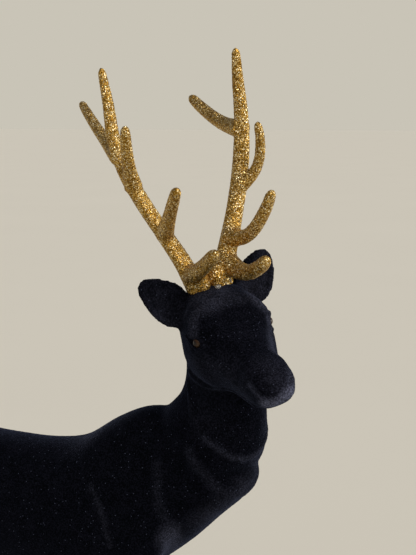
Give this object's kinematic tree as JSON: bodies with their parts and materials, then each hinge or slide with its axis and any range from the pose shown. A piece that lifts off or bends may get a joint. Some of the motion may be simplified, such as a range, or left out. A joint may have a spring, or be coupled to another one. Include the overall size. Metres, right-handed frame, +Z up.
{
  "type": "deer figurine",
  "caption": "Standing stag figurine in black flocked velvet with gold-glitter antlers and bead eyes, its head turned aside, on a low oval base.",
  "frame": {"origin": "middle of the base's flat underside", "axes": "+X is the way the stag's body faces, +Y is its left, +Z is up"},
  "size_m": [0.2858, 0.105, 0.4176],
  "materials": {
    "flock": "black flocked velvet over moulded plastic",
    "glitter": "coarse gold glitter glued over moulded plastic",
    "eye_bead": "glossy amber-brown bead",
    "plinth": "matt black, plain"
  },
  "bodies": {
    "root": {"body": "flock", "antler_right": "glitter", "antler_left": "glitter", "eye_right": "eye_bead", "eye_left": "eye_bead", "base": "plinth"}
  },
  "joints": []
}
